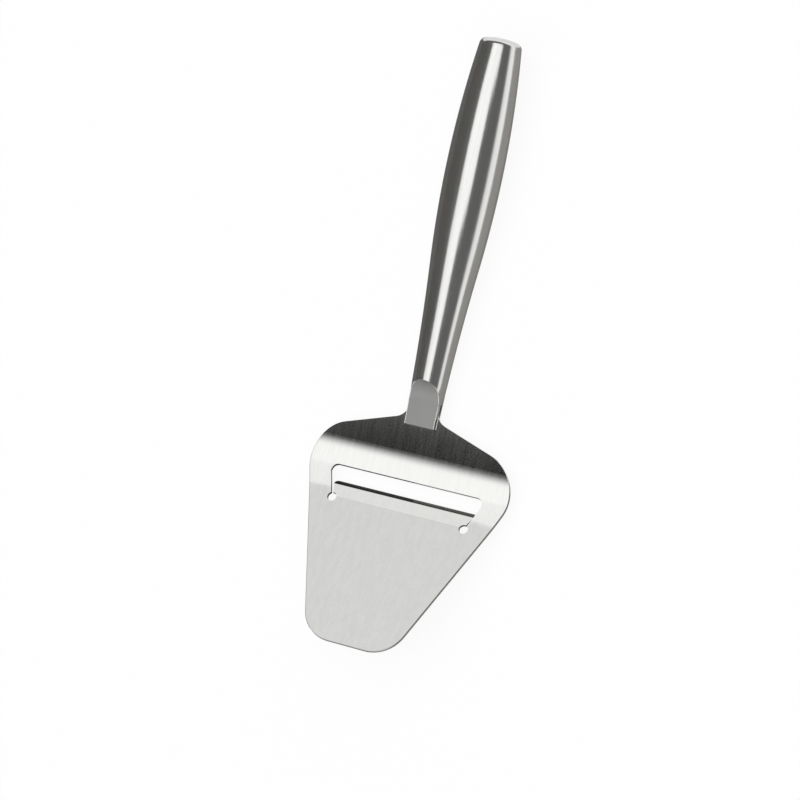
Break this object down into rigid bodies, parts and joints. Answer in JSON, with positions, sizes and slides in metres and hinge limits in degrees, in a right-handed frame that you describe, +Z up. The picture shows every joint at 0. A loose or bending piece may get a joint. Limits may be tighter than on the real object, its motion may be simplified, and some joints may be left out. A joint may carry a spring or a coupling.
{
  "type": "cheese slicer",
  "caption": "All-metal hand slicer: spade-shaped blade with a slot and cutting lip, scooped neck, and a round hollow handle with a swelling belly and domed end.",
  "frame": {"origin": "under the middle of the slicer's bounding box, on the table that it lies on", "axes": "+Z up from the table, +Y from the blade's tip to the handle's butt, X across the blade"},
  "size_m": [0.0776, 0.22, 0.0272],
  "materials": {
    "blade_steel": "satin, brushed along the blade",
    "handle_steel": "satin, brushed along the handle",
    "weld_steel": "ground weld"
  },
  "bodies": {
    "root": {"blade": "blade_steel", "neck": "handle_steel", "neck_weld": "weld_steel", "handle_tube": "handle_steel", "end_cap": "handle_steel"}
  },
  "joints": []
}
